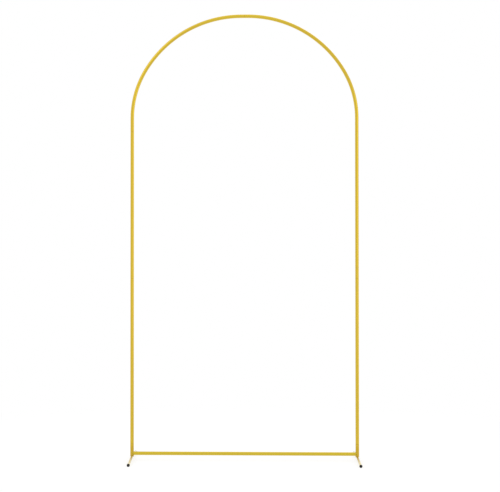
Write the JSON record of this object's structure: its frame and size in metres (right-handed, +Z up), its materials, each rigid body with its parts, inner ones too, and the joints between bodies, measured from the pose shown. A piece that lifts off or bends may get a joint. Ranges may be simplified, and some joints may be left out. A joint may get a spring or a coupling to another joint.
{
  "type": "round-topped metal arch frame",
  "caption": "Free-standing knock-down arch of thin gold-painted steel tube, with a rounded top, a low crossbar and bowed feet.",
  "frame": {"origin": "on the floor, midway between the posts and midway between the front and rear foot ends", "axes": "+Z up, +X to the right seen from the front, -Y to the front"},
  "size_m": [1.023, 0.4306, 1.9989],
  "materials": {
    "gold_paint": "glossy gold paint, metallic, over smooth steel tube",
    "sleeve_steel": "zinc-plated steel, drawn lengthwise",
    "black_plastic": "black moulded plastic, satin"
  },
  "bodies": {
    "root": {"crossbar": "gold_paint", "arch_bend_left": "gold_paint", "arch_bend_right": "gold_paint", "upper_post_left": "gold_paint", "upper_post_right": "gold_paint", "lower_post_left": "gold_paint", "lower_post_right": "gold_paint", "base_upright_left": "gold_paint", "base_upright_right": "gold_paint", "foot_left": "gold_paint", "foot_right": "gold_paint", "crown_sleeve": "sleeve_steel", "arch_sleeve_left": "sleeve_steel", "arch_sleeve_right": "sleeve_steel", "middle_sleeve_left": "sleeve_steel", "middle_sleeve_right": "sleeve_steel", "base_sleeve_left": "sleeve_steel", "base_sleeve_right": "sleeve_steel", "crossbar_sleeve_left": "sleeve_steel", "crossbar_sleeve_right": "sleeve_steel", "foot_cap_front_left": "black_plastic", "foot_cap_front_right": "black_plastic", "foot_cap_rear_left": "black_plastic", "foot_cap_rear_right": "black_plastic"}
  },
  "joints": []
}
